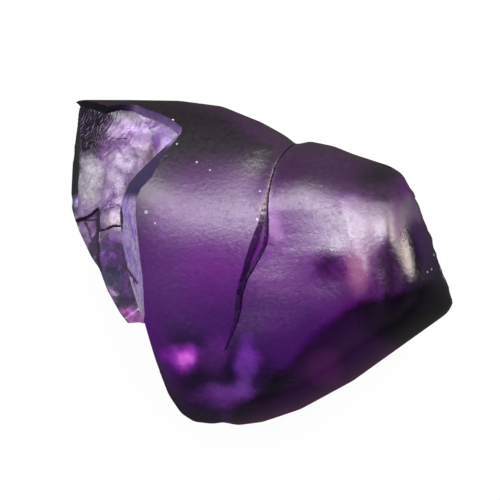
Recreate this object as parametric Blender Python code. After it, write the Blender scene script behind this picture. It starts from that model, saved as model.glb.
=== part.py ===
"""Rough alexandrite: one natural crystal, worn frosty, with a fresh glassy break, an old crack and edge chips.

It lies on the flat worn face under it. +X runs along its length to the pointed end, +Y across it towards the
long upper edge, +Z up. Shapes are written in millimetres about the middle of the stone and
scaled once to metres.
"""

import math

import bmesh
import bpy
import numpy as np

MM = 0.001

# Overall size, and the height of the widest line above the flat that the stone lies on
LENGTH = 10.5
WIDTH = 8.91
THICKNESS = 5.6
GIRDLE = 2.45

# Plan outline, clockwise from the corner where the fresh break was struck
OUTLINE = [
    (-5.17, 4.36), (-5.00, 4.44), (-3.62, 4.43), (-2.25, 4.40), (-1.09, 4.24), (-0.04, 3.82), (0.62, 3.44),
    (0.94, 3.20), (1.31, 3.28), (1.94, 3.15), (2.49, 2.93), (3.49, 2.61), (3.79, 2.42), (4.04, 2.07),
    (4.29, 1.58), (4.73, 0.53), (5.06, -0.46), (5.25, -1.10), (5.08, -1.40), (4.09, -2.10), (2.49, -3.25),
    (1.06, -4.02), (0.01, -4.38), (-0.65, -4.47), (-1.09, -4.39), (-1.31, -4.44), (-1.86, -4.38),
    (-2.22, -4.14), (-2.55, -3.63), (-2.82, -2.90), (-3.22, -2.22), (-3.66, -1.66), (-3.87, -1.40),
    (-4.23, -0.76), (-4.45, -0.16), (-4.64, 0.09), (-5.03, 0.89), (-5.24, 1.58), (-5.25, 2.13), (-5.17, 3.78),
]
PLAN_CENTRE = (-0.32, 0.06)  # every part of the outline is seen from here
OUTLINE_SOFTEN = 0.8  # degrees, the wear on the outline's corners
GIRDLE_WANDER = 0.28  # how far the widest line rises and falls round the stone
SIDE_OUT, SIDE_UP = 12.0, 2.2  # how squarely the sides turn into the faces, across and in height
USUAL_REACH, USUAL_HEIGHT = 4.6, 2.7  # from the middle out to the girdle and up to the crown
WEAR = 0.18  # rounding where two worn faces meet

# Worn faces: a point on the face (x, y), its distance from the girdle, the compass direction that it falls
# towards (0 is +X, 90 is +Y) and its tilt in degrees
UPPER_FACES = [
    (-1.0, 1.9, 2.80, 92, 30),    # long slope to the upper edge
    (-0.6, 1.3, 2.94, 90, 13),    # ridge that catches the light
    (-0.5, -0.3, 3.03, 258, 5),   # crown
    (-1.0, -2.3, 2.62, 262, 17),  # broad lower face
    (-1.4, -3.6, 1.95, 262, 44),  # lower edge
    (3.0, -1.7, 2.38, 302, 33),   # dark face towards the pointed end
    (3.0, 0.9, 2.70, 25, 17),     # right shoulder
    (4.1, 0.6, 2.30, 12, 58),     # bevel along the chipped edge
    (4.4, -0.9, 2.10, 338, 48),   # pointed end
    (3.0, -3.0, 1.45, 306, 55),   # lower right edge
    (2.6, 2.2, 2.07, 68, 40),     # slope to the upper right edge
    (-3.5, 0.4, 2.42, 186, 20),   # left shoulder
    (4.05, 0.0, 2.50, 14, 34),    # narrow upright face between the right shoulder and the bevel
]
LOWER_FACES = [
    (-0.2, 0.0, 2.62, 200, 2),    # face that the flat is worn into
    (-2.9, 0.4, 2.20, 178, 36),
    (-0.5, 2.3, 2.30, 97, 34),
    (2.5, 0.5, 2.25, 8, 29),
    (-0.4, -2.3, 2.25, 266, 36),
    (2.0, -1.7, 2.15, 318, 38),
    (-2.5, 2.5, 2.05, 131, 38),
    (2.0, 2.3, 1.90, 62, 42),
    (-2.3, -1.9, 2.00, 222, 40),
]
# Lumps and hollows worn into the upper faces: x, y, half-width in x and in y, height
LUMPS = [
    (-1.7, 0.9, 0.9, 0.9, 0.04), (2.65, 0.75, 0.35, 0.70, 0.04), (-0.9, -2.9, 0.8, 0.8, 0.06),
    (-2.2, -2.4, 0.6, 0.6, 0.05), (0.9, -1.9, 0.9, 0.9, 0.06), (0.6, 2.2, 0.6, 0.6, 0.05),
    (-2.0, 2.9, 0.7, 0.7, -0.05),
]
# Small patches that lean back towards the near side: x, y, half-width in x and in y, height
LEANS = [(1.76, -0.10, 0.33, 0.38, 0.07), (3.28, 0.10, 0.19, 0.75, 0.17), (0.95, -0.05, 0.55, 0.50, 0.05)]

# Fresh break: its upper edge on the worn skin, from the ledge's corner leftwards; the ledge from that corner
# down, on the skin and at the foot of its wall; and where the rows end outside the stone
RIM = [(-2.14, 3.40), (-2.42, 3.62), (-2.71, 3.78), (-3.11, 3.92), (-3.42, 4.07), (-3.81, 4.11), (-4.19, 4.01),
       (-4.64, 4.17), (-4.93, 4.24), (-5.60, 4.40)]
LEDGE_TOP = [
    (-2.14, 3.40), (-2.65, 2.72), (-2.87, 2.21), (-3.15, 1.93), (-3.27, 1.64), (-3.29, 1.25), (-3.22, 0.47),
    (-3.11, -0.45), (-3.07, -1.36), (-3.15, -1.81), (-3.40, -2.80),
]
LEDGE_FOOT = [
    (-2.25, 3.42), (-2.87, 2.86), (-3.33, 2.43), (-3.58, 2.14), (-3.74, 1.78), (-3.83, 1.36), (-3.77, 0.60),
    (-3.54, -0.47), (-3.25, -1.40), (-3.31, -1.85), (-3.53, -2.75),
]
BREAK_END = (-5.60, -3.60)
STRIKE = (-5.05, 4.35)  # the blow that broke it landed here
BREAK_LEVEL, BREAK_RISE, BREAK_FALL = 0.40, 0.27, -0.08  # height at the blow, slope in x, slope in y
HOLLOW, HOLLOW_REACH = 0.20, 4.2  # depth and reach of the shell-shaped hollow round the blow
SCAR = (-4.03, -0.34, 1.17, 0.16, 0.07)  # second flake, lower down: x, y, radius, depth, step down into it
# The floor falls away more steeply to the left of this line, and to a thin low plate left of its lower end
FOLD = [(-4.05, 4.35), (-4.12, 3.87), (-4.30, 2.79), (-4.39, 1.45), (-4.44, 0.89), (-4.36, 0.30), (-4.35, -1.46)]
FOLD_FALL = 0.30  # extra fall to the left of the line, for each millimetre
PLATE_FROM, PLATE_DROP = 1.50, 0.24  # the plate's upper end, in y, and how far it lies below the floor
CRUSHED_WIDE, CRUSHED_FALL, CRUSHED_FROM = 0.22, 1.1, 1.55  # steep lip along the outer edge, above this y
TURN = 0.03  # how sharply the floor's surfaces bend into each other
RIM_LIP = (0.10, 0.16, 0.42)  # how the break's upper edge leans out of the stone: x, y, z
LEAST_WALL = 0.02  # the ledge never vanishes
LID = 6.5  # the cutters reach up to here, clear of the stone
BREAK_ROWS, BREAK_COLUMNS = 44, 20

# Corner knocked out between the flake and the lower body: its inner edge, and how it runs out underneath
NOTCH = [(-3.66, -1.64), (-3.13, -1.60), (-3.04, -1.95), (-2.78, -2.95)]
NOTCH_OUTSIDE = [(-3.35, -3.60), (-4.20, -2.20)]
# its levels: z, shift in x and in y
NOTCH_LEVELS = [(-2.60, -0.62, -0.30), (-1.30, -0.22, -0.08), (-0.50, 0.0, 0.0), (4.50, 0.10, 0.02)]

# Old crack: the left lobe drops to the right one across a leaning wall. Along the line where they meet: x, y,
# the width of the wall and how far the right lobe lies below the left one
CRACK = [
    (1.09, 3.67, 0.08, 0.08), (0.88, 3.19, 0.08, 0.08), (0.66, 2.97, 0.07, 0.07), (0.50, 2.79, 0.06, 0.06),
    (0.33, 2.48, 0.06, 0.06), (0.23, 2.16, 0.07, 0.07), (0.15, 1.76, 0.10, 0.10), (0.12, 1.37, 0.16, 0.13),
    (0.13, 1.11, 0.24, 0.17), (0.12, 0.72, 0.39, 0.22), (0.07, 0.44, 0.44, 0.24), (-0.09, 0.13, 0.38, 0.24),
    (-0.26, -0.16, 0.26, 0.22), (-0.42, -0.44, 0.19, 0.19), (-0.53, -0.82, 0.16, 0.16),
    (-0.57, -1.22, 0.16, 0.13), (-0.65, -1.53, 0.13, 0.09), (-0.78, -1.86, 0.08, 0.04),
    (-0.94, -2.26, 0.05, 0.0),
]
CRACK_LIP, CRACK_BITE = 0.035, 0.22  # the steep side's lean, and the open line's depth as a share of the step
LEAST_BITE = 0.006
CRACK_SLANT = 0.2  # the wall's upper edge lies this share of its width lower in the plan than its foot
CRACK_TURN = 0.03  # how sharply the left lobe turns down into the wall
CRACK_ROWS = 44
LOBE_REACH = 1.0  # the right lobe is back at its full height this far from the crack
# towards the upper edge both lobes sink to the crack: from y, depth, half-width, and how gently it starts
VALLEY = (1.95, 0.22, 0.42, 0.25)

# Shell-shaped chips: compass direction from the plan centre, how far down the side (0 is the top, 1 the widest
# line, beyond 1 the underside), radius of the scoop and the depth of its bite
CHIPS = [
    (25.5, 0.93, 1.10, 0.05), (22.0, 0.86, 1.60, 0.07), (17.5, 0.92, 0.95, 0.08), (14.0, 0.84, 1.30, 0.07),
    (10.5, 0.90, 1.20, 0.10), (6.5, 0.84, 1.70, 0.10), (3.0, 0.91, 0.85, 0.11), (-1.5, 0.85, 1.30, 0.14),
    (-5.0, 0.94, 0.90, 0.08), (-8.5, 0.88, 1.20, 0.08), (2.0, 1.06, 2.60, 0.12), (15.0, 1.08, 3.00, 0.12),
    (33.0, 0.97, 1.20, 0.05), (58.0, 0.98, 1.00, 0.05), (-98.5, 0.98, 0.70, 0.09), (-91.0, 1.00, 0.80, 0.05),
    (-116.0, 0.96, 1.40, 0.06), (149.0, 1.01, 1.00, 0.05), (162.0, 0.99, 0.80, 0.04), (-60.0, 1.10, 3.40, 0.18),
    (-130.0, 1.14, 3.20, 0.20), (86.0, 1.12, 4.00, 0.26), (50.0, 1.16, 3.60, 0.22), (128.0, 1.12, 3.20, 0.22),
    (-25.0, 1.16, 3.20, 0.20), (176.0, 1.20, 3.00, 0.20), (108.0, 1.30, 2.60, 0.16), (-152.0, 1.34, 2.80, 0.16),
    (-95.0, 1.28, 3.00, 0.18), (20.0, 1.34, 3.20, 0.16),
]
SKIN_CUTS = 44  # how finely the sphere that the skin is drawn from is divided
KEEP = 0.34  # share of the faces kept once it is carved
RAY_COUNT, BLUR = 1440, 16  # rays from the plan centre to the outline, and how many on each side wear it smooth
PROFILE_STEPS = 600


def soft_least(values, blend):
    """The lowest of several heights, rounded where two of them meet."""
    stack = np.stack(values)
    lowest = stack.min(axis=0)
    return lowest - blend * np.log(np.exp((lowest - stack) / blend).sum(axis=0))


def eased(value, width):
    """0 well below zero, 1 well above it, turning over the given width."""
    return 0.5 + 0.5 * np.tanh(value / width)


def beyond_zero(value, width):
    """0 below zero and the value itself above it, bent over the given width."""
    return np.logaddexp(0, value / width) * width


def face_heights(faces, x, y):
    """Heights of the tilted worn faces at x, y."""
    heights = []
    for px, py, height, falls, tilt in faces:
        away = (x - px) * math.cos(math.radians(falls)) + (y - py) * math.sin(math.radians(falls))
        heights.append(height - math.tan(math.radians(tilt)) * away)
    return heights


def outline_rays():
    """The outline's distance from the plan centre on evenly spaced rays, with its corners a little worn."""
    ring = np.array(OUTLINE + OUTLINE[:1])
    dense = np.concatenate([np.linspace(a, b, 80, endpoint=False) for a, b in zip(ring[:-1], ring[1:])])
    dense -= PLAN_CENTRE
    rays = np.linspace(-math.pi, math.pi, RAY_COUNT, endpoint=False)
    reach = np.interp(rays, np.arctan2(dense[:, 1], dense[:, 0]), np.hypot(*dense.T), period=math.tau)
    spread = np.arange(-BLUR, BLUR + 1)
    weights = np.exp(-0.5 * (spread * (360 / RAY_COUNT) / OUTLINE_SOFTEN) ** 2)
    worn = sum(w * np.roll(reach, s) for w, s in zip(weights, spread)) / weights.sum()
    return rays, worn


RAYS, REACH = outline_rays()


def outline_reach(angle):
    return np.interp(angle, RAYS, REACH, period=math.tau)


def side_profile():
    """How the stone turns from its middle (0) to its widest line (1), evenly along the curve."""
    turn = np.linspace(0, math.pi / 2, PROFILE_STEPS)
    out, up = np.sin(turn) ** (2 / SIDE_OUT), np.clip(np.cos(turn), 0, 1) ** (2 / SIDE_UP)
    run = np.concatenate([[0], np.cumsum(np.hypot(np.diff(out) * USUAL_REACH, np.diff(up) * USUAL_HEIGHT))])
    return run / run[-1], out, up


RUN, OUT, UP = side_profile()


def girdle_height(angle):
    return GIRDLE_WANDER * (0.6 * np.sin(angle + 0.7) + 0.4 * np.sin(2 * angle - 1.1))


def crack_at(y):
    """The crack's line, width and step at y."""
    line = np.array(CRACK)[::-1]
    return [np.interp(y, line[:, 1], line[:, i]) for i in (0, 2, 3)]


def upper_height(x, y):
    """Height of the worn skin over the girdle before the sides round it off."""
    height = soft_least(face_heights(UPPER_FACES, x, y), WEAR)
    for lx, ly, wide, deep, high in LUMPS:
        height = height + high * np.exp(-0.5 * (((x - lx) / wide) ** 2 + ((y - ly) / deep) ** 2))
    for lx, ly, wide, deep, high in LEANS:
        height = height + high * (y - ly) / deep * np.exp(-0.5 * (((x - lx) / wide) ** 2 + ((y - ly) / deep) ** 2))
    line, wide, step = crack_at(y)
    from_y, deep, half, gentle = VALLEY
    height = height - deep * eased(y - from_y, 2 * gentle) * np.exp(-0.5 * ((x - line) / half) ** 2)
    past_wall = eased(x - line + 0.5 * wide, 2 * CRACK_TURN)
    return height - step * past_wall * np.exp(-0.5 * (np.clip(x - line, 0, None) / LOBE_REACH) ** 2)


def skin_height(x, y):
    """Height of the finished worn skin over the girdle, with the rounded sides."""
    dx, dy = x - PLAN_CENTRE[0], y - PLAN_CENTRE[1]
    angle = np.arctan2(dy, dx)
    out = np.clip(np.hypot(dx, dy) / outline_reach(angle), 0, 1)
    return out**2 * girdle_height(angle) + (1 - out**SIDE_OUT) ** (1 / SIDE_UP) * upper_height(x, y)


def object_from(mesh_data, name, where):
    mesh = bpy.data.meshes.new(name)
    mesh_data.to_mesh(mesh)
    mesh_data.free()
    made = bpy.data.objects.new(name, mesh)
    where.objects.link(made)
    return made


def skin_point(angle, down):
    """A point of the worn skin: down the side from the top (0) to the widest line (1) and the bottom (2)."""
    upper = down <= 1
    side = np.where(upper, down, 2 - down)
    out, up = np.interp(side, RUN, OUT), np.interp(side, RUN, UP)
    x = PLAN_CENTRE[0] + out * outline_reach(angle) * np.cos(angle)
    y = PLAN_CENTRE[1] + out * outline_reach(angle) * np.sin(angle)
    height = np.where(upper, upper_height(x, y), -soft_least(face_heights(LOWER_FACES, x, y), WEAR))
    return np.stack([x, y, out**2 * girdle_height(angle) + up * height], axis=-1)


def skin():
    """The whole worn stone, drawn from an evenly divided sphere, and cut by the flat that it lies on."""
    b = bmesh.new()
    bmesh.ops.create_cube(b, size=2)
    bmesh.ops.subdivide_edges(b, edges=b.edges[:], cuts=SKIN_CUTS, use_grid_fill=True)
    at = np.tan(np.array([v.co[:] for v in b.verts]) * math.pi / 4)
    at /= np.linalg.norm(at, axis=1)[:, None]
    down = np.arccos(np.clip(at[:, 2], -1, 1)) / (math.pi / 2)
    for v, co in zip(b.verts, skin_point(np.arctan2(at[:, 1], at[:, 0]), down)):
        v.co = co
    everything = b.verts[:] + b.edges[:] + b.faces[:]
    cut = bmesh.ops.bisect_plane(
        b, geom=everything, plane_co=(0, 0, -GIRDLE), plane_no=(0, 0, -1), clear_outer=True
    )
    bmesh.ops.holes_fill(b, edges=[e for e in cut["geom_cut"] if isinstance(e, bmesh.types.BMEdge)])
    bmesh.ops.recalc_face_normals(b, faces=b.faces[:])
    return b


def along(points, count):
    """Points at even steps along a line of points."""
    points = np.array(points)
    run = np.concatenate([[0], np.cumsum(np.hypot(*np.diff(points[:, :2], axis=0).T))])
    steps = np.linspace(0, run[-1], count)
    return np.stack([np.interp(steps, run, points[:, i]) for i in range(points.shape[1])], axis=1)


def carver(rows, top):
    """A closed cutter: a sheet with the given rows of points under it and a flat lid over it."""
    rows = np.asarray(rows)
    b = bmesh.new()
    bmesh.ops.create_grid(b, x_segments=rows.shape[1] - 1, y_segments=rows.shape[0] - 1, size=1)
    high, wide = rows.shape[:2]
    for v in b.verts:
        v.co = rows[round((v.co.y + 1) / 2 * (high - 1)), round((v.co.x + 1) / 2 * (wide - 1))]
    lid = bmesh.ops.extrude_face_region(b, geom=b.faces[:])["geom"]
    for v in lid:
        if isinstance(v, bmesh.types.BMVert):
            v.co.z = top
    bmesh.ops.recalc_face_normals(b, faces=b.faces[:])
    return b


def break_floor(x, y):
    """Height of the shell-shaped floor of the fresh break over the girdle."""
    from_blow = np.hypot(x - STRIKE[0], y - STRIKE[1])
    floor = BREAK_LEVEL + BREAK_RISE * (x - STRIKE[0]) + BREAK_FALL * (y - STRIKE[1])
    floor = floor - HOLLOW * np.sin(math.pi * np.clip(from_blow / HOLLOW_REACH, 0, 1))
    fold = np.array(FOLD)[::-1]
    left = np.interp(y, fold[:, 1], fold[:, 0]) - x
    floor = floor - FOLD_FALL * beyond_zero(left, TURN)
    floor = floor - PLATE_DROP * eased(left - TURN, TURN) * eased(PLATE_FROM - y - 0.5 * left, TURN)
    sx, sy, radius, depth, step = SCAR
    inside = 1 - np.hypot(x - sx, y - sy) / radius
    floor = floor - (step * eased(inside, TURN) + depth * np.clip(inside, 0, 1)) * eased(-left, TURN)
    dx, dy = x - PLAN_CENTRE[0], y - PLAN_CENTRE[1]
    from_edge = outline_reach(np.arctan2(dy, dx)) - np.hypot(dx, dy)
    return floor - CRUSHED_FALL * beyond_zero(CRUSHED_WIDE - from_edge, TURN) * (y > CRUSHED_FROM)


def break_cutter():
    """What the fresh break took away: a steep wall along the ledge and the shell-shaped floor beside it."""
    top, foot, rim = along(LEDGE_TOP, BREAK_ROWS), along(LEDGE_FOOT, BREAK_ROWS), along(RIM, BREAK_COLUMNS)
    rim = foot[0] + (rim - rim[0]) * (rim[-1] - foot[0]) / (rim[-1] - rim[0])
    rows = []
    for i in range(BREAK_ROWS):
        down = i / (BREAK_ROWS - 1)
        far = rim[-1] + (np.array(BREAK_END) - rim[-1]) * down
        straight = foot[i] + (far - foot[i]) * np.linspace(0, 1, BREAK_COLUMNS)[:, None]
        bow = rim - foot[0] - (rim[-1] - foot[0]) * np.linspace(0, 1, BREAK_COLUMNS)[:, None]
        floor_at = straight + bow * (1 - down) ** 3
        floor_z = break_floor(floor_at[:, 0], floor_at[:, 1])
        edge_z = max(float(skin_height(*top[i])), floor_z[0] + LEAST_WALL)
        beyond = 2 * top[i] - foot[i]
        wall = [[*beyond, 2 * edge_z - floor_z[0]], [*top[i], edge_z]]
        rows.append([*wall, *np.column_stack([floor_at, floor_z])])
    lip = np.array(rows[0]) + RIM_LIP
    return carver([lip, *rows], LID)


def crack_cutter():
    """The wedge between the lobes: a leaning wall on its left and a steep lip on its right."""
    rows = []
    for x, y, wide, step in along(CRACK, CRACK_ROWS):
        left = float(skin_height(x - wide, y - CRACK_SLANT * wide))
        right = float(skin_height(x + CRACK_LIP, y))
        bottom = min(left, right) - CRACK_BITE * step - LEAST_BITE
        rows.append([
            (x - 2 * wide, y - 2 * CRACK_SLANT * wide, 2 * left - bottom),
            (x - wide, y - CRACK_SLANT * wide, left), (x, y, bottom),
            (x + CRACK_LIP, y, right), (x + 2 * CRACK_LIP, y, 2 * right - bottom),
        ])
    return carver(rows, LID)


def notch_cutter():
    """The corner knocked out beside the flake, running out underneath."""
    b = bmesh.new()
    rings = []
    for z, shift_x, shift_y in NOTCH_LEVELS:
        inner = [(x + shift_x, y + shift_y, z) for x, y in NOTCH]
        rings.append([b.verts.new(co) for co in inner + [(*p, z) for p in NOTCH_OUTSIDE]])
    b.faces.new(rings[0])
    b.faces.new(rings[-1][::-1])
    for low, high in zip(rings[:-1], rings[1:]):
        for i in range(len(low)):
            j = (i + 1) % len(low)
            b.faces.new((low[i], high[i], high[j], low[j]))
    bmesh.ops.recalc_face_normals(b, faces=b.faces[:])
    return b


def chip_cutter(chip):
    """A ball that bites into the skin where a chip flew off."""
    compass, down, radius, bite = chip
    angle, step = math.radians(compass), 0.01
    near = ((angle, down), (angle + step, down), (angle, down + step))
    at, round_it, down_it = (skin_point(np.array(a), np.array(d)) for a, d in near)
    outward = np.cross(down_it - at, round_it - at)
    outward /= np.linalg.norm(outward)
    b = bmesh.new()
    bmesh.ops.create_icosphere(b, subdivisions=4, radius=radius)
    bmesh.ops.translate(b, verts=b.verts[:], vec=at + outward * (radius - bite))
    return b


for old in list(bpy.data.objects):
    bpy.data.objects.remove(old, do_unlink=True)
stone_set = bpy.data.collections.new("rough_alexandrite")
cutter_set = bpy.data.collections.new("cutters")
for group in (stone_set, cutter_set):
    bpy.context.scene.collection.children.link(group)

stone = object_from(skin(), "alexandrite_crystal", stone_set)
cutters = [
    object_from(break_cutter(), "fresh_break", cutter_set),
    object_from(crack_cutter(), "old_crack", cutter_set),
    object_from(notch_cutter(), "corner_notch", cutter_set),
]
cutters += [object_from(chip_cutter(chip), f"chip_{i + 1}", cutter_set) for i, chip in enumerate(CHIPS)]
for cutter in cutters:
    cutter.hide_render = True
    cutter.display_type = "WIRE"
    cut = stone.modifiers.new(cutter.name, "BOOLEAN")
    cut.operation, cut.solver, cut.object = "DIFFERENCE", "EXACT", cutter

thin = stone.modifiers.new("thin", "DECIMATE")
thin.ratio = KEEP

# Bring the carved stone to its real size, standing on the origin
shaped = bpy.data.meshes.new_from_object(stone.evaluated_get(bpy.context.evaluated_depsgraph_get()))
stone.modifiers.clear()
stone.data = shaped
points = np.array([v.co[:] for v in shaped.vertices])
low, high = points.min(axis=0), points.max(axis=0)
size = np.array([LENGTH, WIDTH, THICKNESS])
points = (points - [(low[0] + high[0]) / 2, (low[1] + high[1]) / 2, low[2]]) * (size / (high - low)) * MM
shaped.vertices.foreach_set("co", points.ravel())
shaped.update()
shaped.name = "alexandrite_crystal"

skin_look = bpy.data.materials.new("frosted_purple_crystal")
skin_look.use_nodes = True
shader = skin_look.node_tree.nodes["Principled BSDF"]
shader.inputs["Base Color"].default_value = (0.10, 0.03, 0.17, 1)
shader.inputs["Roughness"].default_value = 0.35
shader.inputs["Metallic"].default_value = 0
shader.inputs["IOR"].default_value = 1.745
shaped.materials.clear()
shaped.materials.append(skin_look)
for face in shaped.polygons:
    face.use_smooth = True
shaped.set_sharp_from_angle(angle=math.radians(28))
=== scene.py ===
import math

import bmesh
import bpy
import numpy as np
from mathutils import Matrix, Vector, noise


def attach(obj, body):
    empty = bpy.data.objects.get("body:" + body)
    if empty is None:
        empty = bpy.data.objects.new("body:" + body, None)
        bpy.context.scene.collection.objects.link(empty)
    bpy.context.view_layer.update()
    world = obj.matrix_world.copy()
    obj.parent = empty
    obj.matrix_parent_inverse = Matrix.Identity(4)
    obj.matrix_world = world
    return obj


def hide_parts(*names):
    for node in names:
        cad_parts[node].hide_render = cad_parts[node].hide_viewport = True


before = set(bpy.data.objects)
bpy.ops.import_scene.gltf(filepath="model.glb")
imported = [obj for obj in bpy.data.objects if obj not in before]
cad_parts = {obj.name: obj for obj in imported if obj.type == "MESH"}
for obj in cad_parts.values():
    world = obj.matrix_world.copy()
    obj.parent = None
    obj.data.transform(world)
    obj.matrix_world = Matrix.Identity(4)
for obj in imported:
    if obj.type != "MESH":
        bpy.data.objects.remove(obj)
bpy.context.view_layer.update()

# The worn skin of the crystal. Water and gravel have rolled a purple chrysoberyl crystal until its growth
# faces are low frosted planes with soft ridges between them. It is one solid piece, drawn here whole, before
# the breaks: millimetres about the plan middle, with height 0 on the widest line.
LONG, ACROSS, THICK = 10.5, 8.91, 5.6
GIRDLE = 2.45
ROUND_THE_STONE = [
    (-5.17, 4.36), (-5.00, 4.44), (-3.62, 4.43), (-2.25, 4.40), (-1.09, 4.24), (-0.04, 3.82), (0.62, 3.44),
    (0.94, 3.20), (1.31, 3.28), (1.94, 3.15), (2.49, 2.93), (3.49, 2.61), (3.79, 2.42), (4.04, 2.07),
    (4.29, 1.58), (4.73, 0.53), (5.06, -0.46), (5.25, -1.10), (5.08, -1.40), (4.09, -2.10), (2.49, -3.25),
    (1.06, -4.02), (0.01, -4.38), (-0.65, -4.47), (-1.09, -4.39), (-1.31, -4.44), (-1.86, -4.38),
    (-2.22, -4.14), (-2.55, -3.63), (-2.82, -2.90), (-3.22, -2.22), (-3.66, -1.66), (-3.87, -1.40),
    (-4.23, -0.76), (-4.45, -0.16), (-4.64, 0.09), (-5.03, 0.89), (-5.24, 1.58), (-5.25, 2.13), (-5.17, 3.78),
]
PLAN_CENTRE = (-0.32, 0.06)
GIRDLE_WANDER = 0.28
SIDE_OUT, SIDE_UP = 12.0, 2.2
SIDE_RUN, SIDE_RISE = 4.6, 2.7
WEAR = 0.18
# rays from the middle to the outline: how many, how many on each side wear it smooth, over how many degrees
RAY_COUNT, BLUR, BLUR_OVER = 1440, 16, 0.8
# growth faces: a point in the plan, the height there, the compass direction it falls to, its tilt in degrees
UPPER_FACES = [
    (-1.0, 1.9, 2.80, 92, 30), (-0.6, 1.3, 2.94, 90, 13), (-0.5, -0.3, 3.03, 258, 5),
    (-1.0, -2.3, 2.62, 262, 17), (-1.4, -3.6, 1.95, 262, 44), (3.0, -1.7, 2.38, 302, 33),
    (3.0, 0.9, 2.70, 25, 17), (4.1, 0.6, 2.30, 12, 58), (4.4, -0.9, 2.10, 338, 48), (3.0, -3.0, 1.45, 306, 55),
    (2.6, 2.2, 2.07, 68, 40), (-3.5, 0.4, 2.42, 186, 20), (4.05, 0.0, 2.50, 14, 34),
]
LOWER_FACES = [
    (-0.2, 0.0, 2.62, 200, 2), (-2.9, 0.4, 2.20, 178, 36), (-0.5, 2.3, 2.30, 97, 34), (2.5, 0.5, 2.25, 8, 29),
    (-0.4, -2.3, 2.25, 266, 36), (2.0, -1.7, 2.15, 318, 38), (-2.5, 2.5, 2.05, 131, 38),
    (2.0, 2.3, 1.90, 62, 42), (-2.3, -1.9, 2.00, 222, 40),
]
# worn lumps and hollows: x, y, half-widths, height
LUMPS = [
    (-1.7, 0.9, 0.9, 0.9, 0.04), (2.65, 0.75, 0.35, 0.70, 0.04), (-0.9, -2.9, 0.8, 0.8, 0.06),
    (-2.2, -2.4, 0.6, 0.6, 0.05), (0.9, -1.9, 0.9, 0.9, 0.06), (0.6, 2.2, 0.6, 0.6, 0.05),
    (-2.0, 2.9, 0.7, 0.7, -0.05),
]
# patches that lean back towards the near side, so they stay dark: x, y, half-widths, height
LEANS = [(1.76, -0.10, 0.33, 0.38, 0.07), (3.28, 0.10, 0.19, 0.75, 0.17), (0.95, -0.05, 0.55, 0.50, 0.05)]
# where the right lobe meets the left one: x, y, width of the wall between them, how much lower the right one is
LOBE_LINE = [
    (1.09, 3.67, 0.05, 0.08), (0.88, 3.19, 0.05, 0.08), (0.66, 2.97, 0.04, 0.07), (0.50, 2.79, 0.035, 0.06),
    (0.33, 2.48, 0.035, 0.06), (0.23, 2.16, 0.04, 0.07), (0.15, 1.76, 0.07, 0.10), (0.12, 1.37, 0.16, 0.13),
    (0.13, 1.11, 0.24, 0.17), (0.12, 0.72, 0.39, 0.22), (0.07, 0.44, 0.44, 0.24), (-0.09, 0.13, 0.38, 0.24),
    (-0.26, -0.16, 0.26, 0.22), (-0.42, -0.44, 0.19, 0.19), (-0.53, -0.82, 0.16, 0.16),
    (-0.57, -1.22, 0.16, 0.13), (-0.65, -1.53, 0.13, 0.09), (-0.78, -1.86, 0.08, 0.04),
    (-0.94, -2.26, 0.05, 0.0),
]
LOBE_REACH, LOBE_TURN = 1.0, 0.03
# near the upper edge both lobes sink to that line: from y, depth, half-width, and how gently it starts
VALLEY = (1.95, 0.22, 0.42, 0.25)


def worn_together(heights, blend):
    """The lowest of several heights, rounded where two of them meet."""
    stack = np.stack(heights)
    lowest = stack.min(axis=0)
    return lowest - blend * np.log(np.exp((lowest - stack) / blend).sum(axis=0))


def planes_at(faces, x, y):
    """The height of each growth face's plane over a place."""
    heights = []
    for px, py, height, falls, tilt in faces:
        away = (x - px) * math.cos(math.radians(falls)) + (y - py) * math.sin(math.radians(falls))
        heights.append(height - math.tan(math.radians(tilt)) * away)
    return heights


def rays_to_outline():
    """Compass directions all round, and how far the worn outline lies from the middle in each."""
    ring = np.array(ROUND_THE_STONE + ROUND_THE_STONE[:1])
    dense = np.concatenate([np.linspace(a, b, 80, endpoint=False) for a, b in zip(ring[:-1], ring[1:])])
    dense -= PLAN_CENTRE
    rays = np.linspace(-math.pi, math.pi, RAY_COUNT, endpoint=False)
    reach = np.interp(rays, np.arctan2(dense[:, 1], dense[:, 0]), np.hypot(*dense.T), period=math.tau)
    spread = np.arange(-BLUR, BLUR + 1)
    weights = np.exp(-0.5 * (spread * 360 / RAY_COUNT / BLUR_OVER) ** 2)
    return rays, sum(w * np.roll(reach, s) for w, s in zip(weights, spread)) / weights.sum()


RAYS, REACH = rays_to_outline()


def outline_reach(angle):
    return np.interp(angle, RAYS, REACH, period=math.tau)


def side_turn():
    """How the stone turns from its middle to its widest line, evenly along the curve."""
    turn = np.linspace(0, math.pi / 2, 2000)
    out, up = np.sin(turn) ** (2 / SIDE_OUT), np.clip(np.cos(turn), 0, 1) ** (2 / SIDE_UP)
    run = np.concatenate([[0], np.cumsum(np.hypot(np.diff(out) * SIDE_RUN, np.diff(up) * SIDE_RISE))])
    return run / run[-1], out, up


RUN, OUT, UP = side_turn()


def girdle_height(angle):
    """How far the widest line wanders up and down round the stone."""
    return GIRDLE_WANDER * (0.6 * np.sin(angle + 0.7) + 0.4 * np.sin(2 * angle - 1.1))


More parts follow.
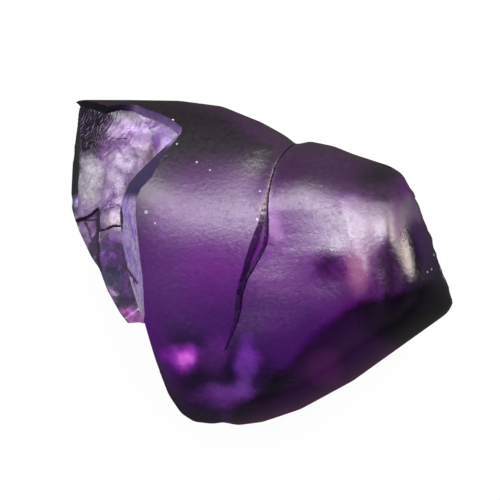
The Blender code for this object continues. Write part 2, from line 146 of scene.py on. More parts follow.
def upper_height(x, y):
    """The upper side before it turns down at the edge."""
    height = worn_together(planes_at(UPPER_FACES, x, y), WEAR)
    for lx, ly, wide, deep, high in LUMPS:
        height = height + high * np.exp(-0.5 * (((x - lx) / wide) ** 2 + ((y - ly) / deep) ** 2))
    for lx, ly, wide, deep, high in LEANS:
        patch = np.exp(-0.5 * (((x - lx) / wide) ** 2 + ((y - ly) / deep) ** 2))
        height = height + high * (y - ly) / deep * patch
    line = np.array(LOBE_LINE)[::-1]
    meet, wide, step = (np.interp(y, line[:, 1], line[:, i]) for i in (0, 2, 3))
    from_y, deep, half, gently = VALLEY
    sink = deep / (1 + np.exp((from_y - y) / gently))
    height = height - sink * np.exp(-0.5 * ((x - meet) / half) ** 2)
    past_wall = 1 / (1 + np.exp(-(x - meet + 0.5 * wide) / LOBE_TURN))
    return height - step * past_wall * np.exp(-0.5 * (np.clip(x - meet, 0, None) / LOBE_REACH) ** 2)


def skin_height(x, y):
    """The height of the upper skin over a place, with the turn at the edge."""
    dx, dy = x - PLAN_CENTRE[0], y - PLAN_CENTRE[1]
    angle = np.arctan2(dy, dx)
    out = np.clip(np.hypot(dx, dy) / outline_reach(angle), 0, 1)
    return out**2 * girdle_height(angle) + (1 - out**SIDE_OUT) ** (1 / SIDE_UP) * upper_height(x, y)


def skin_point(angle, down):
    """A point of the skin: down the side from the top (0) to the widest line (1) and the bottom (2)."""
    upper = down <= 1
    side = np.where(upper, down, 2 - down)
    out, up = np.interp(side, RUN, OUT), np.interp(side, RUN, UP)
    x = PLAN_CENTRE[0] + out * outline_reach(angle) * np.cos(angle)
    y = PLAN_CENTRE[1] + out * outline_reach(angle) * np.sin(angle)
    height = np.where(upper, upper_height(x, y), -worn_together(planes_at(LOWER_FACES, x, y), WEAR))
    return np.stack([x, y, out**2 * girdle_height(angle) + up * height], axis=-1)


def loose_piece(mesh_data, name):
    mesh = bpy.data.meshes.new(name)
    mesh_data.to_mesh(mesh)
    mesh_data.free()
    made = bpy.data.objects.new(name, mesh)
    bpy.context.scene.collection.objects.link(made)
    return made


SKIN_CUTS = 108
b = bmesh.new()
bmesh.ops.create_cube(b, size=2)
bmesh.ops.subdivide_edges(b, edges=b.edges[:], cuts=SKIN_CUTS, use_grid_fill=True)
at = np.tan(np.array([v.co[:] for v in b.verts]) * math.pi / 4)
at /= np.linalg.norm(at, axis=1)[:, None]
skin_points = skin_point(np.arctan2(at[:, 1], at[:, 0]), np.arccos(np.clip(at[:, 2], -1, 1)) / (math.pi / 2))

# Shell-shaped chips knocked off the edges, mostly along the right-hand edge and underneath. Each is a shallow
# scoop of a ball: compass direction, how far down the side, radius and depth of the bite.
CHIPS = [
    (25.5, 0.93, 1.10, 0.05), (22.0, 0.86, 1.60, 0.07), (17.5, 0.92, 0.95, 0.08), (14.0, 0.84, 1.30, 0.07),
    (10.5, 0.90, 1.20, 0.10), (6.5, 0.84, 1.70, 0.10), (3.0, 0.91, 0.85, 0.11), (-1.5, 0.85, 1.30, 0.14),
    (-5.0, 0.94, 0.90, 0.08), (-8.5, 0.88, 1.20, 0.08), (2.0, 1.06, 2.60, 0.12), (15.0, 1.08, 3.00, 0.12),
    (33.0, 0.97, 1.20, 0.05), (58.0, 0.98, 1.00, 0.05), (-98.5, 0.98, 0.70, 0.09), (-91.0, 1.00, 0.80, 0.05),
    (-116.0, 0.96, 1.40, 0.06), (149.0, 1.01, 1.00, 0.05), (162.0, 0.99, 0.80, 0.04), (-60.0, 1.10, 3.40, 0.18),
    (-130.0, 1.14, 3.20, 0.20), (86.0, 1.12, 4.00, 0.26), (50.0, 1.16, 3.60, 0.22), (128.0, 1.12, 3.20, 0.22),
    (-25.0, 1.16, 3.20, 0.20), (176.0, 1.20, 3.00, 0.20), (108.0, 1.30, 2.60, 0.16), (-152.0, 1.34, 2.80, 0.16),
    (-95.0, 1.28, 3.00, 0.18), (20.0, 1.34, 3.20, 0.16),
]
# and a run of small ones, which make the right-hand edge ragged
chance = np.random.default_rng(11)
CHIPS += [
    (compass, chance.uniform(0.80, 1.04), chance.uniform(0.22, 0.42), chance.uniform(0.03, 0.075))
    for compass in np.linspace(36, -11, 34)
]
balls = []
for compass, down, radius, bite in CHIPS:
    angle, step = math.radians(compass), 0.01
    places = (angle, down), (angle + step, down), (angle, down + step)
    here, round_it, down_it = (skin_point(np.array(a), np.array(d)) for a, d in places)
    outward = np.cross(down_it - here, round_it - here)
    outward /= np.linalg.norm(outward)
    ball = here + outward * (radius - bite)
    balls.append((ball, radius))
    arm = skin_points - ball
    reach = np.linalg.norm(arm, axis=1)
    bitten = reach < radius
    skin_points[bitten] = ball + arm[bitten] * (radius / reach[bitten])[:, None]
for v, co in zip(b.verts, skin_points):
    v.co = co
cut = bmesh.ops.bisect_plane(
    b, geom=b.verts[:] + b.edges[:] + b.faces[:],
    plane_co=(0, 0, -GIRDLE), plane_no=(0, 0, -1), clear_outer=True,
)
bmesh.ops.holes_fill(b, edges=[e for e in cut["geom_cut"] if isinstance(e, bmesh.types.BMEdge)])
bmesh.ops.recalc_face_normals(b, faces=b.faces[:])
crystal = loose_piece(b, "rough_crystal")

# The fresh break. A blow on the far left corner split a shell-shaped flake off the stone, which left a glassy
# lilac floor with fine rings round the blow, a second small scar below it, and a steep wall under the old
# skin. It is cut with a sheet that follows the break's upper edge, the ledge and the wall's foot.
RIM = [
    (-2.14, 3.40), (-2.42, 3.62), (-2.71, 3.78), (-3.11, 3.92), (-3.42, 4.07), (-3.81, 4.11), (-4.19, 4.01),
    (-4.64, 4.17), (-4.93, 4.24), (-5.60, 4.40),
]
LEDGE_TOP = [
    (-2.14, 3.40), (-2.65, 2.72), (-2.87, 2.21), (-3.15, 1.93), (-3.27, 1.64), (-3.29, 1.25), (-3.22, 0.47),
    (-3.11, -0.45), (-3.07, -1.36), (-3.15, -1.81), (-3.40, -2.80),
]
LEDGE_FOOT = [
    (-2.25, 3.42), (-2.87, 2.86), (-3.33, 2.43), (-3.58, 2.14), (-3.74, 1.78), (-3.83, 1.36), (-3.77, 0.60),
    (-3.54, -0.47), (-3.25, -1.40), (-3.31, -1.85), (-3.53, -2.75),
]
BREAK_END = (-5.60, -3.60)
STRIKE = (-5.05, 4.35)
# the floor's height at the blow and its slopes, the hollow round the blow, and the broad rings in it
BREAK_LEVEL, BREAK_RISE, BREAK_FALL = 0.40, 0.27, -0.08
HOLLOW, HOLLOW_REACH = 0.20, 4.2
RIB, RIB_PITCH = 0.005, 0.62
# second flake below the first: x, y, radius, depth, and the step down into it
SCAR = (-4.03, -0.34, 1.17, 0.16, 0.07)
# the floor falls away to the left of this line, and to a thin low plate beyond its lower end
FOLD = [
    (-4.05, 4.35), (-4.12, 3.87), (-4.30, 2.79), (-4.39, 1.45), (-4.44, 0.89), (-4.36, 0.30), (-4.35, -1.46),
]
FOLD_FALL = 0.30
PLATE_FROM, PLATE_DROP = 1.50, 0.24
# a small raised block: its sides in x and in y, and its height
BLOCK = (-4.41, -3.80, 0.89, 1.45, 0.035)
CRUSHED_LIP, CRUSHED_FROM = (0.22, 1.1), 1.55
# how the upper edge of the break leans out of the stone
RIM_LIP = (0.10, 0.16, 0.42)
# fine ridges round the blow: height, pitch, and how far out they reach
RIPPLE = (0.006, 0.125, 1.75)
BREAK_ROWS, BREAK_COLUMNS, WALL_COLUMNS = 230, 104, 9
WALL_RELIEF, LEAST_WALL, BREAK_LID = 0.05, 0.02, 6.5
chance = np.random.default_rng(4)
# small flakes off its floor: x, y, size, depth and lean
FLAKE_DEEP, FLAKE_LEAN, FLAKE_COUNT = 0.055, 0.07, 90
FLAKES = [
    (
        chance.uniform(-5.2, -2.7), chance.uniform(-1.9, 4.1), size, FLAKE_DEEP * size,
        *chance.uniform(-FLAKE_LEAN, FLAKE_LEAN, 2),
    )
    for size in chance.uniform(0.16, 0.62, FLAKE_COUNT)
]


def along(points, count):
    """Points at even steps along a line of points."""
    points = np.array(points)
    run = np.concatenate([[0], np.cumsum(np.hypot(*np.diff(points[:, :2], axis=0).T))])
    steps = np.linspace(0, run[-1], count)
    return np.stack([np.interp(steps, run, points[:, i]) for i in range(points.shape[1])], axis=1)


def carver(rows, top, name):
    """A closed cutter: a sheet with the given rows of points under it and a flat lid over it."""
    rows = np.asarray(rows)
    b = bmesh.new()
    bmesh.ops.create_grid(b, x_segments=rows.shape[1] - 1, y_segments=rows.shape[0] - 1, size=1)
    for v in b.verts:
        row = round((v.co.y + 1) / 2 * (rows.shape[0] - 1))
        column = round((v.co.x + 1) / 2 * (rows.shape[1] - 1))
        v.co = rows[row, column]
    lid = bmesh.ops.extrude_face_region(b, geom=b.faces[:])["geom"]
    for v in lid:
        if isinstance(v, bmesh.types.BMVert):
            v.co.z = top
    bmesh.ops.recalc_face_normals(b, faces=b.faces[:])
    return loose_piece(b, name)


def eased(value, width):
    """0 well below zero, 1 well above it, turning over the given width."""
    return 0.5 + 0.5 * np.tanh(value / width)


def past(value, width):
    """0 below zero, the value itself above it, bent over the given width."""
    return np.logaddexp(0, value / width) * width


def break_floor(x, y):
    """The height of the break's floor over a place, with its fold, plate, block, scar and flakes."""
    dx, dy = x - PLAN_CENTRE[0], y - PLAN_CENTRE[1]
    from_edge = outline_reach(np.arctan2(dy, dx)) - np.hypot(dx, dy)
    from_blow = np.hypot(x - STRIKE[0], y - STRIKE[1])
    floor = BREAK_LEVEL + BREAK_RISE * (x - STRIKE[0]) + BREAK_FALL * (y - STRIKE[1])
    floor = floor - HOLLOW * np.sin(math.pi * np.clip(from_blow / HOLLOW_REACH, 0, 1))
    floor = floor + RIB * np.sin(math.tau * from_blow / RIB_PITCH + 0.6 * np.sin(2.3 * x))
    high, pitch, out_to = RIPPLE
    broken_up = np.sin(5.1 * x + 2.0 * y) * np.sin(3.7 * y - 4.4 * x)
    rings = np.sin(math.tau * from_blow / pitch + 1.6 * broken_up)
    floor = floor + high * eased(out_to - from_blow, 0.3) * rings
    # the fold, the plate, the block and the scar have uneven edges
    fold = np.array(FOLD)[::-1]
    x = x + 0.025 * np.sin(4.3 * y + 1.0) + 0.012 * np.sin(13.0 * y)
    y = y + 0.030 * np.sin(5.1 * x) + 0.015 * np.sin(12.0 * x + 2.0) - 0.10 * (x + 4.2)
    beyond = np.interp(y, fold[:, 1], fold[:, 0]) - x
    floor = floor - FOLD_FALL * past(beyond, 0.03)
    floor = floor - PLATE_DROP * eased(beyond - 0.03, 0.02) * eased(PLATE_FROM - y - 0.5 * beyond, 0.03)
    left, right, low, high, raised = BLOCK
    on_block = eased(x - left, 0.015) * eased(right - x, 0.015)
    on_block = on_block * eased(high - y, 0.012) * eased(y - low, 0.012)
    floor = floor + raised * on_block
    sx, sy, radius, depth, step = SCAR
    inside = 1 - np.hypot(x - sx, 0.92 * (y - sy)) / radius
    scooped = step * eased(inside, 0.012) + depth * np.clip(inside, 0, 1) ** 1.4
    floor = floor - scooped * eased(-beyond, 0.015)
    for fx, fy, size, deep, lean_x, lean_y in FLAKES:
        away_x, away_y = x - fx, y - fy
        bowl = lean_x * away_x + lean_y * away_y - deep * (1 - (away_x**2 + away_y**2) / size**2)
        floor = floor + np.minimum(bowl, 0)
    wide, steep = CRUSHED_LIP
    return floor - steep * past(wide - from_edge, 0.02) * eased(y - CRUSHED_FROM, 0.15)


ledge_top, ledge_foot = along(LEDGE_TOP, BREAK_ROWS), along(LEDGE_FOOT, BREAK_ROWS)
rim = along(RIM, BREAK_COLUMNS)
rim = ledge_foot[0] + (rim - rim[0]) * (rim[-1] - ledge_foot[0]) / (rim[-1] - rim[0])
rows = []
for i in range(BREAK_ROWS):
    down = i / (BREAK_ROWS - 1)
    far = rim[-1] + (np.array(BREAK_END) - rim[-1]) * down
    steps = np.linspace(0, 1, BREAK_COLUMNS)[:, None]
    straight = ledge_foot[i] + (far - ledge_foot[i]) * steps
    bow = rim - ledge_foot[0] - (rim[-1] - ledge_foot[0]) * steps
    floor_at = straight + bow * (1 - down) ** 3
    floor_z = break_floor(floor_at[:, 0], floor_at[:, 1])
    edge_z = max(float(skin_height(*ledge_top[i])), floor_z[0] + LEAST_WALL)
    beyond = 2 * ledge_top[i] - ledge_foot[i]
    wall = [[*beyond, 2 * edge_z - floor_z[0]], [*ledge_top[i], edge_z]]
    for f in np.linspace(0, 1, WALL_COLUMNS + 1)[1:-1]:
        lump = noise.fractal(Vector((0.035 * i, 2.2 * f, 3.0)), 1.0, 2.0, 3)
        lump *= WALL_RELIEF * math.sin(math.pi * f)
        at_x, at_y = ledge_top[i] + (ledge_foot[i] - ledge_top[i]) * f
        wall.append([at_x + 0.5 * lump, at_y, edge_z + (floor_z[0] - edge_z) * f + lump])
    rows.append([*wall, *np.column_stack([floor_at, floor_z])])
fresh_break = carver([np.array(rows[0]) + RIM_LIP, *rows], BREAK_LID, "fresh_break_cutter")

# The old crack. The left lobe drops to the right one across a short dark leaning wall, with a fine open line
# at its foot, from a nick in the upper edge to below the middle. The lip and the open line go with the drop.
LIP, BITE, LEAST_LIP, LEAST_BITE = 0.15, 0.22, 0.004, 0.006
CRACK_SLANT, CRACK_ROWS, CRACK_LID = 0.2, 160, 6.0
rows = []
for x, y, wide, drop in along(LOBE_LINE, CRACK_ROWS):
    lip = LIP * drop + LEAST_LIP
    slant = CRACK_SLANT * wide
    left = float(skin_height(x - wide, y - slant))
    right = float(skin_height(x + lip, y))
    bottom = min(left, right) - BITE * drop - LEAST_BITE
    rows.append([
        (x - 2 * wide, y - 2 * slant, 2 * left - bottom), (x - wide, y - slant, left), (x, y, bottom),
        (x + lip, y, right), (x + 2 * lip, y, 2 * right - bottom),
    ])
old_crack = carver(rows, CRACK_LID, "old_crack_cutter")

# The corner knocked out between the flake and the lower body. It runs out underneath, in four levels, each a
# height and how far the corner's line has moved there.
NOTCH = [(-3.66, -1.64), (-3.13, -1.60), (-3.04, -1.95), (-2.78, -2.95)]
NOTCH_OUTSIDE = [(-3.35, -3.60), (-4.20, -2.20)]
NOTCH_LEVELS = [(-2.60, -0.62, -0.30), (-1.30, -0.22, -0.08), (-0.50, 0.0, 0.0), (4.50, 0.10, 0.02)]
b = bmesh.new()
rings = []
for z, shift_x, shift_y in NOTCH_LEVELS:
    inner = [(x + shift_x, y + shift_y, z) for x, y in NOTCH]
    rings.append([b.verts.new(co) for co in inner + [(*p, z) for p in NOTCH_OUTSIDE]])
b.faces.new(rings[0])
b.faces.new(rings[-1][::-1])
for low, high in zip(rings[:-1], rings[1:]):
    for i in range(len(low)):
        j = (i + 1) % len(low)
        b.faces.new((low[i], high[i], high[j], low[j]))
bmesh.ops.recalc_face_normals(b, faces=b.faces[:])
corner_nick = loose_piece(b, "corner_nick_cutter")

# The stone as it is: the break, the crack and the corner cut out of the worn skin. Each place keeps what made
# it as a mark for the finish: fresh, seam of the crack, step, rim of the outline, chip.
STEP_BELOW, RIM_WIDE, CHIP_MARGIN, RIDGE_DEGREES = 0.80, 0.16, 0.004, 30
cutters = [fresh_break, old_crack, corner_nick]
for mark in [bpy.data.materials.new("worn"), *(bpy.data.materials.new(cutter.name) for cutter in cutters)]:
    crystal.data.materials.append(mark)
for i, cutter in enumerate(cutters):
    cutter.data.materials.append(crystal.data.materials[i + 1])
    cut = crystal.modifiers.new(cutter.name, "BOOLEAN")
    cut.operation, cut.solver, cut.object, cut.material_mode = "DIFFERENCE", "EXACT", cutter, "TRANSFER"
carved = bpy.data.meshes.new_from_object(crystal.evaluated_get(bpy.context.evaluated_depsgraph_get()))
made_by = np.zeros(len(carved.polygons), dtype=np.int32)
carved.polygons.foreach_get("material_index", made_by)
upright = np.array([face.normal.z for face in carved.polygons]) < STEP_BELOW
for mark, faces in (("fresh", made_by == 1), ("seam", made_by == 2), ("step", (made_by == 1) & upright)):
    carved.attributes.new(mark, "FLOAT", "FACE").data.foreach_set("value", faces.astype(np.float32))
carved.polygons.foreach_set("material_index", np.zeros(len(carved.polygons), dtype=np.int32))
crystal.modifiers.clear()
crystal.data = carved
for cutter in cutters:
    bpy.data.objects.remove(cutter, do_unlink=True)
points = np.array([v.co[:] for v in carved.vertices])
low, high = points.min(axis=0), points.max(axis=0)
plan = points[:, :2] - PLAN_CENTRE
from_edge = outline_reach(np.arctan2(plan[:, 1], plan[:, 0])) - np.hypot(*plan.T)
chipped = np.zeros(len(points))
for ball, radius in balls:
    chipped[np.linalg.norm(points - ball, axis=1) < radius + CHIP_MARGIN] = 1
for mark, values in (("rim", np.exp(-((from_edge / RIM_WIDE) ** 2))), ("chip", chipped)):
    carved.attributes.new(mark, "FLOAT", "POINT").data.foreach_set("value", values.astype(np.float32))
size = np.array([LONG, ACROSS, THICK])
points = (points - [(low[0] + high[0]) / 2, (low[1] + high[1]) / 2, low[2]]) * (size / (high - low)) * 0.001
carved.vertices.foreach_set("co", points.ravel())
carved.update()
for face in carved.polygons:
    face.use_smooth = True
carved.set_sharp_from_angle(angle=math.radians(RIDGE_DEGREES))

# The crystal's finish: see-through purple that darkens with depth and is zoned from magenta to nearly black,
# partly by painted glows, sheen, highlights and shade, under a frosted worn skin. The fresh break is as clear
# and smooth as glass.
crystal_purple = bpy.data.materials.new("purple_crystal_worn_and_broken")
crystal_purple.use_nodes = True
nodes, links = crystal_purple.node_tree.nodes, crystal_purple.node_tree.links
shader = nodes["Principled BSDF"]
shader.inputs["IOR"].default_value = 1.745


def node(kind, **settings):
    made = nodes.new(kind)
    for name, value in settings.items():
        setattr(made, name, value)
    return made


def feed(target, value):
    if isinstance(value, bpy.types.NodeSocket):
        links.new(value, target)
    else:
        target.default_value = value


def maths(operation, *values):
    made = node("ShaderNodeMath", operation=operation)
    for socket, value in zip(made.inputs, values):
        feed(socket, value)
    return made.outputs[0]


def vectors(operation, *values):
    made = node("ShaderNodeVectorMath", operation=operation)
    for socket, value in zip(made.inputs, values):
        feed(socket, value)
    return made.outputs["Value"] if operation in ("LENGTH", "DISTANCE", "DOT_PRODUCT") else made.outputs[0]


def times(first, *others):
    """Several shares multiplied."""
    for other in others:
        first = maths("MULTIPLY", first, other)
    return first


def plus(first, second):
    return maths("ADD", first, second)


def less(first, second):
    return maths("SUBTRACT", first, second)


def ramp(value, start, end, low=0.0, high=1.0, how="SMOOTHSTEP"):
    made = node("ShaderNodeMapRange", interpolation_type=how)
    for socket, v in zip(made.inputs, (value, start, end, low, high)):
        feed(socket, v)
    return made.outputs[0]


def blended(share, under, over):
    made = node("ShaderNodeMix", data_type="RGBA")
    feed(made.inputs[0], share)
    feed(made.inputs[6], under)
    feed(made.inputs[7], over)
    return made.outputs[2]


def opaque(colour, strength=1.0):
    """A colour made stronger or weaker, within 1, with the fourth number that sockets want."""
    return (*(min(strength * c, 1) for c in colour), 1)


def cloud(place, scale, detail=2.0, roughness=0.5):
    made = node("ShaderNodeTexNoise")
    feed(made.inputs["Vector"], place)
    feed(made.inputs["Scale"], scale)
    feed(made.inputs["Detail"], detail)
    feed(made.inputs["Roughness"], roughness)
    return made


def mark_of(name):
    return node("ShaderNodeAttribute", attribute_name=name).outputs["Fac"]


in_mm = vectors("MULTIPLY", node("ShaderNodeTexCoord").outputs["Object"], (1000, 1000, 1000))
drift = vectors("SUBTRACT", cloud(in_mm, 0.9, 3.0).outputs["Color"], (0.5, 0.5, 0.5))
fine_drift = vectors("SUBTRACT", cloud(in_mm, 4.0, 3.0).outputs["Color"], (0.5, 0.5, 0.5))
# The stains and the spots of painted light and shade are laid out on a plan that is true at the widest line.
# Higher places lie farther out on it, as their shadows would from a point this many millimetres above the
# ground.
PLAN_MIDDLE, PLAN_POINT = (-0.317, 0.338), 48.35
height_up = node("ShaderNodeSeparateXYZ")
feed(height_up.inputs[0], in_mm)
spread = maths("DIVIDE", PLAN_POINT - GIRDLE, less(PLAN_POINT, height_up.outputs["Z"]))
spread_out = node("ShaderNodeCombineXYZ")
for axis in "XY":
    feed(spread_out.inputs[axis], spread)
spread_out.inputs["Z"].default_value = 1.0
on_plan = vectors("MULTIPLY", vectors("SUBTRACT", in_mm, (*PLAN_MIDDLE, 0.0)), spread_out.outputs[0])
on_plan = vectors("ADD", on_plan, (*PLAN_MIDDLE, 0.0))
wandering = vectors("ADD", on_plan, vectors("MULTIPLY", drift, (0.7, 0.7, 0.0)))
wandering = vectors("ADD", wandering, vectors("MULTIPLY", fine_drift, (0.16, 0.16, 0.0)))
shattered = vectors("ADD", on_plan, vectors("MULTIPLY", fine_drift, (0.5, 0.5, 0.0)))
smeared = vectors("ADD", on_plan, vectors("MULTIPLY", fine_drift, (0.60, 0.60, 0.0)))
smeared = vectors("ADD", smeared, vectors("MULTIPLY", drift, (0.50, 0.50, 0.0)))
shattered_a_little = vectors("ADD", on_plan, vectors("MULTIPLY", fine_drift, (0.12, 0.12, 0.0)))


def near(middle, reach, share=1.0, core=0.25, place=None):
    """How strongly a soft spot through the crystal shows, for stains and for painted light and shade: its
    middle and reach across, in millimetres.
    """
    away = vectors("DIVIDE", vectors("SUBTRACT", place or wandering, (*middle, 0.0)), (*reach, 1e6))
    return ramp(vectors("LENGTH", away), 1.0, core, 0.0, share)


def on_lines(points, width, place):
    """How near a place is to a broken line through the given points: 1 on it, 0 at the given width away."""
    nearest = None
    for start, end in zip(points[:-1], points[1:]):
        run = (end[0] - start[0], end[1] - start[1], 0.0)
        arm = vectors("MULTIPLY", vectors("SUBTRACT", place, (*start, 0.0)), (1.0, 1.0, 0.0))
        share = maths("DIVIDE", vectors("DOT_PRODUCT", arm, run), run[0] ** 2 + run[1] ** 2)
        foot = vectors("MULTIPLY", run, ramp(share, 0.0, 1.0, how="LINEAR"))
        away = vectors("DISTANCE", arm, foot)
        nearest = away if nearest is None else maths("MINIMUM", nearest, away)
    return ramp(nearest, width, 0.3 * width)


def past_line(start, facing, width):
    """0 on one side of a line through the stone, 1 on the other, in the direction that it faces."""
    away = vectors("SUBTRACT", wandering, (*start, 0.0))
    return ramp(vectors("DOT_PRODUCT", away, (*facing, 0.0)), -width, width)


fresh_mark, seam_mark, step_mark = mark_of("fresh"), mark_of("seam"), mark_of("step")
rim_mark, chip_mark = mark_of("rim"), mark_of("chip")
BODY = (0.27, 0.095, 0.33)
# stains and spots of painted light and shade: middle, reach across, colour, how strong, and the share of the
# reach that is full strength
BODY_STAINS_AND_PAINTED_LIGHT = [
    ((-0.5, -3.8), (6.5, 4.0), (0.029, 0.012, 0.088), 0.94, 0.60),  # deeper purple below
    ((-3.0, -0.8), (1.5, 2.6), (0.060, 0.013, 0.12), 0.88, 0.30),  # and along the break
    ((-0.6, 3.9), (6.5, 2.8), (0.040, 0.034, 0.040), 0.97, 0.35),  # painted shade: dark slate on the slopes along the upper edge, here and next
    ((2.0, 3.3), (3.4, 1.75), (0.036, 0.033, 0.036), 0.98, 0.62),
    ((4.52, 0.30), (0.66, 1.4), (0.018, 0.019, 0.036), 0.99, 0.70),  # painted shade along the right shoulder
    # painted sheen: lighter slate on the upper right, lit from the right
    ((4.20, 1.45), (0.55, 0.65), (0.13, 0.14, 0.16), 0.90, 0.40),
    ((0.60, -0.45), (1.1, 0.7), (0.24, 0.10, 0.28), 0.70, 0.25),
    ((2.60, -0.05), (0.62, 1.15), (0.80, 0.38, 0.50), 0.90, 0.25),  # painted glow: pink light through the stone
    ((-2.15, -2.62), (0.85, 0.52), (0.72, 0.06, 1.0), 1.00, 0.20),  # painted glow: magenta light through the stone, with its core next
    ((-2.10, -2.64), (0.46, 0.24), (0.95, 0.20, 1.0), 1.00, 0.10),
    ((-0.40, -2.85), (0.50, 1.10), (0.46, 0.13, 1.0), 0.90, 0.25),  # painted glow: violet light through the stone
    ((-2.05, -3.55), (0.75, 0.45), (0.012, 0.003, 0.02), 0.95, 0.40),
    ((0.45, -1.45), (0.9, 0.7), (0.09, 0.045, 0.16), 0.70, 0.25),
    ((-0.90, -3.62), (1.4, 0.50), (0.44, 0.12, 0.80), 0.90, 0.20),  # painted glow: purple light at the near end
    ((-1.30, -2.60), (0.60, 0.90), (0.22, 0.05, 0.36), 0.80, 0.30),
]
# the first colour is painted shade for the face at the lower right
SHADE_BLACK, BROWN_EDGE = (0.004, 0.001, 0.006), (0.030, 0.010, 0.022)
BREAK = (0.50, 0.27, 0.66)
BREAK_STAINS = [
    ((-3.25, 3.70), (0.9, 0.5), (0.56, 0.28, 0.80), 0.8, 0.25),
    ((-4.20, 4.00), (1.1, 0.30), (0.06, 0.02, 0.10), 0.9, 0.35),
    ((-2.75, 3.45), (0.50, 0.60), (0.36, 0.12, 0.66), 0.85, 0.40),
    ((-5.0, 3.75), (0.92, 1.40), (0.010, 0.003, 0.016), 0.98, 0.55),  # dark round the blow
    ((-4.72, 2.25), (0.45, 0.95), (0.74, 0.68, 0.78), 0.95, 0.45),  # pale patch
    ((-3.12, 2.95), (0.42, 0.50), (0.40, 0.24, 0.32), 0.7, 0.2),  # brown stain
    ((-3.9, 2.5), (0.55, 0.8), (0.68, 0.50, 0.86), 0.7, 0.25),
    ((-4.13, 1.2), (0.40, 0.35), (0.86, 0.68, 0.86), 0.9, 0.50),  # pinkish block
    ((-4.0, -0.5), (0.9, 1.4), (0.10, 0.025, 0.19), 0.92, 0.55),
    ((-4.15, 0.25), (0.42, 0.60), (0.26, 0.06, 0.50), 0.95, 0.45),
    ((-4.15, -0.40), (0.45, 0.38), (0.05, 0.045, 0.20), 0.95, 0.45),
    ((-3.70, -1.15), (0.32, 0.42), (0.07, 0.02, 0.16), 0.90, 0.40),
    ((-3.65, -1.50), (0.85, 0.34), (0.80, 0.18, 0.72), 0.95, 0.35),
    ((-4.09, -0.85), (0.17, 0.26), (0.80, 0.48, 0.92), 0.90, 0.40),
    ((-4.45, -0.80), (0.32, 0.55), (0.42, 0.14, 0.58), 0.8, 0.30),
]
WALL, LOWER_WALL, NEARLY_BLACK = (0.026, 0.016, 0.12), (0.78, 0.60, 1.0), (0.008, 0.004, 0.012)
tint = blended(cloud(in_mm, 1.6, 4.0).outputs["Fac"], opaque(BODY, 0.75), opaque(BODY, 1.25))
for middle, reach, colour, share, core in BODY_STAINS_AND_PAINTED_LIGHT:
    tint = blended(near(middle, reach, share, core), tint, (*colour, 1))
# painted sheen: a pale spot beside the crack, in the bright band across the stone
tint = blended(near((0.38, 1.15), (0.38, 0.65), 0.8, 0.4), tint, (0.85, 0.72, 0.88, 1))
# painted shade: two dark spots on the patches that lean to the near side
left_shade_spot = near((1.80, -0.12), (0.60, 0.92), 1.0, 0.0, smeared)
right_shade_spot = near((3.46, -0.30), (0.42, 1.50), 0.85, 0.1, smeared)
painted_shade_spots = maths("MAXIMUM", left_shade_spot, right_shade_spot)
tint = blended(times(painted_shade_spots, 0.97), tint, (0.012, 0.006, 0.018, 1))
# painted highlight: a pale wedge-shaped patch on the right lobe; painted shade: the face at the lower right,
# nearly black
painted_highlight = times(
    past_line((2.03, 1.58), (0.904, 0.428), 0.06),
    past_line((3.60, 1.58), (-0.933, 0.36), 0.25),
    past_line((2.9, 1.75), (0.0, -1.0), 0.16),
)
tint = blended(times(painted_highlight, 0.7), tint, (0.86, 0.80, 0.88, 1))
painted_shade_face = times(
    past_line((1.4, -2.1), (0.69, -0.725), 0.16),
    past_line((3.0, -1.02), (0.25, -0.97), 0.14),
)
tint = blended(painted_shade_face, tint, (*SHADE_BLACK, 1))
tint = blended(near((1.75, -2.95), (0.75, 0.65), 0.8), tint, (*BROWN_EDGE, 1))
tint = blended(near((4.35, -1.15), (0.55, 0.30), 0.7), tint, (0.06, 0.03, 0.04, 1))
# painted shade: the crack's seam darkened
tint = blended(times(seam_mark, 0.97), tint, (0.022, 0.014, 0.038, 1))
sideways = node("ShaderNodeSeparateXYZ")
feed(sideways.inputs[0], on_plan)
right, up = sideways.outputs["X"], sideways.outputs["Y"]
# painted shade: the rim of the outline darkened, reddish low and olive high
rim_painted_shade = blended(ramp(up, -2.5, 2.5), (0.075, 0.012, 0.02, 1), (0.03, 0.026, 0.012, 1))
tint = blended(times(rim_mark, 0.85), tint, rim_painted_shade)
# painted glints: pink sparkles on near black over the chips of the right-hand edge
painted_glints = ramp(cloud(in_mm, 6.5, 3.0).outputs["Fac"], 0.50, 0.60)
chip_painted_glints = blended(painted_glints, (0.012, 0.005, 0.02, 1), (0.50, 0.22, 0.58, 1))
on_right = times(chip_mark, ramp(right, 3.4, 3.9))
tint = blended(times(on_right, 0.9), tint, chip_painted_glints)

broken_tint = blended(cloud(in_mm, 3.2, 4.0).outputs["Fac"], opaque(BREAK, 0.62), opaque(BREAK, 1.35))
for middle, reach, colour, share, core in BREAK_STAINS:
    broken_tint = blended(near(middle, reach, share, core, shattered), broken_tint, (*colour, 1))
# cracks and veins in the break's floor: width, colour, how strong, and the points they run through
for width, colour, share, line in (
    (0.035, (0.02, 0.01, 0.03), 0.9, ((-4.20, 3.48), (-4.04, 3.42), (-3.72, 3.40))),
    (0.05, (0.16, 0.06, 0.26), 0.8, ((-4.15, 3.86), (-3.84, 3.98), (-3.49, 4.00))),
    (0.06, (0.20, 0.06, 0.34), 0.8, (
        (-3.54, 4.08), (-3.13, 3.81), (-3.02, 3.56), (-2.94, 3.20), (-2.85, 2.90),
    )),
    (0.035, (0.05, 0.02, 0.05), 0.85, ((-4.46, 1.45), (-3.95, 1.56))),
    (0.06, (0.30, 0.18, 0.40), 0.7, ((-4.12, 3.64), (-4.24, 2.86), (-4.32, 2.26), (-4.42, 1.63))),
    (0.05, (0.03, 0.01, 0.04), 0.9, ((-4.92, 1.16), (-4.54, 1.19))),
    (0.05, (0.06, 0.02, 0.09), 0.9, ((-4.84, 1.11), (-4.67, 0.61), (-4.50, 0.42))),
):
    broken_tint = blended(times(on_lines(line, width, shattered_a_little), share), broken_tint, (*colour, 1))
